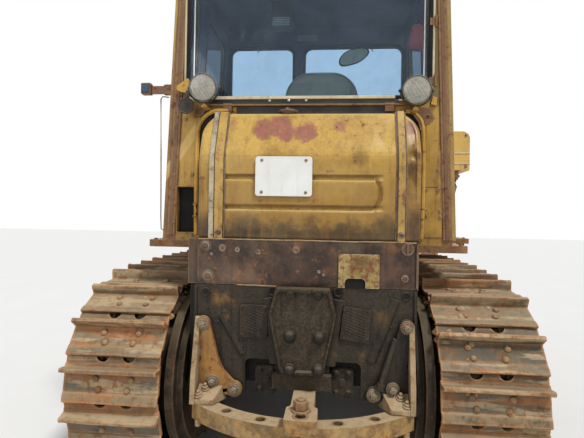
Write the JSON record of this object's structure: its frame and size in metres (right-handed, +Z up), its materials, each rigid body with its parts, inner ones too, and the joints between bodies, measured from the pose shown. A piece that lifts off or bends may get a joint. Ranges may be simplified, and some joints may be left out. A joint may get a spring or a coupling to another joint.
{
  "type": "crawler bulldozer",
  "caption": "Old tracked bulldozer with closed cab, rear fuel tank, arched rear drawbar, straight front blade on outside push arms and two lift cylinders.",
  "frame": {"origin": "on the ground under the middle of the machine's length and width", "axes": "+Y forward to the blade, +X to the machine's right, +Z up"},
  "size_m": [3.2, 4.717, 3.18],
  "materials": {
    "blade_steel": "ochre paint worn through by earth",
    "bright_steel": "polished rod",
    "dark_metal": "dull black paint",
    "dirty_steel": "earth-brown steel",
    "dusty_steel": "steel under beige dust",
    "glass": "dusty tinted panes",
    "oily_metal": "black with oil and dust",
    "rusty_steel": "brown rust over old paint",
    "seat_cloth": "grey-green worn cloth",
    "track_steel": "grey-brown steel with rust-orange edges",
    "white_plate": "plain white plate, blank",
    "worn_steel": "ground bright by earth",
    "yellow_paint": "worn ochre-yellow paint, dusty and rust stained"
  },
  "bodies": {
    "root": {"air_cleaner": "yellow_paint", "axle_case": "oily_metal", "axle_cover": "oily_metal", "belly_guard": "dirty_steel", "cab_controls": "dark_metal", "cab_floor": "dark_metal", "cab_front_wall": "yellow_paint", "cab_lamps": "dark_metal", "cab_rear_wall": "yellow_paint", "cab_roof": "yellow_paint", "cab_wall_left": "yellow_paint", "cab_wall_right": "yellow_paint", "cylinder_yokes": "yellow_paint", "drawbar": "oily_metal", "drawbar_bow": "dusty_steel", "drawbar_brackets": "oily_metal", "engine": "oily_metal", "equalizer_spring": "dirty_steel", "exhaust_pipe": "rusty_steel", "fender_left": "yellow_paint", "fender_right": "yellow_paint", "final_drives": "oily_metal", "fuel_tank": "yellow_paint", "gear_case": "oily_metal", "head_lamps": "dark_metal", "hood_sides": "yellow_paint", "hood_top": "yellow_paint", "hydraulic_tank": "yellow_paint", "idlers": "dirty_steel", "main_frame": "dirty_steel", "number_plate": "white_plate", "radiator": "dark_metal", "radiator_grille": "yellow_paint", "radiator_guard": "yellow_paint", "rear_beam": "rusty_steel", "seat_cushions": "seat_cloth", "seat_frame": "dark_metal", "sprockets": "dirty_steel", "track_frame_left": "dirty_steel", "track_frame_right": "dirty_steel", "track_left": "track_steel", "track_right": "track_steel", "track_rollers": "dirty_steel", "window_glass": "glass"},
    "blade_assembly": {"blade": "blade_steel", "blade_braces": "yellow_paint", "cutting_edge": "worn_steel", "push_arms": "yellow_paint"},
    "door_left": {"door_glass_left": "glass", "door_left": "yellow_paint"},
    "door_right": {"door_glass_right": "glass", "door_right": "yellow_paint"},
    "lift_barrel_left": {"lift_barrel_left": "yellow_paint"},
    "lift_barrel_right": {"lift_barrel_right": "yellow_paint"},
    "lift_rod_left": {"lift_rod_left": "bright_steel"},
    "lift_rod_right": {"lift_rod_right": "bright_steel"}
  },
  "joints": [
    {"name": "blade_lift", "type": "hinge", "parent": "root", "child": "blade_assembly", "pos_m": [0, -0.4635, 0.43], "axis": [1, 0, 0], "range_deg": [-9, 20]},
    {"name": "barrel_swing_left", "type": "hinge", "parent": "root", "child": "lift_barrel_left", "pos_m": [-0.59, 1.3715, 1.75], "axis": [1, 0, 0], "range_deg": [-6.89, 14.7]},
    {"name": "rod_slide_left", "type": "slide", "parent": "lift_barrel_left", "child": "lift_rod_left", "axis": [0, 0.3917, -0.9201], "range_m": [-0.7789, 0.3527]},
    {"name": "barrel_swing_right", "type": "hinge", "parent": "root", "child": "lift_barrel_right", "pos_m": [0.59, 1.3715, 1.75], "axis": [1, 0, 0], "range_deg": [-6.89, 14.7]},
    {"name": "rod_slide_right", "type": "slide", "parent": "lift_barrel_right", "child": "lift_rod_right", "axis": [0, 0.3917, -0.9201], "range_m": [-0.7789, 0.3527]},
    {"name": "door_hinge_left", "type": "hinge", "parent": "root", "child": "door_left", "pos_m": [-0.83999, -1.281, 1.37546], "axis": [0.0384, 0, 0.9993], "range_deg": [0, 100]},
    {"name": "door_hinge_right", "type": "hinge", "parent": "root", "child": "door_right", "pos_m": [0.83999, -1.281, 1.37546], "axis": [0.0384, 0, -0.9993], "range_deg": [0, 100]}
  ],
  "couplings": [
    {"joint": "barrel_swing_left", "follows": "blade_lift", "ratio": 0.71},
    {"joint": "rod_slide_left", "follows": "blade_lift", "m_per_rad": -2.22},
    {"joint": "barrel_swing_right", "follows": "blade_lift", "ratio": 0.71},
    {"joint": "rod_slide_right", "follows": "blade_lift", "m_per_rad": -2.22}
  ]
}
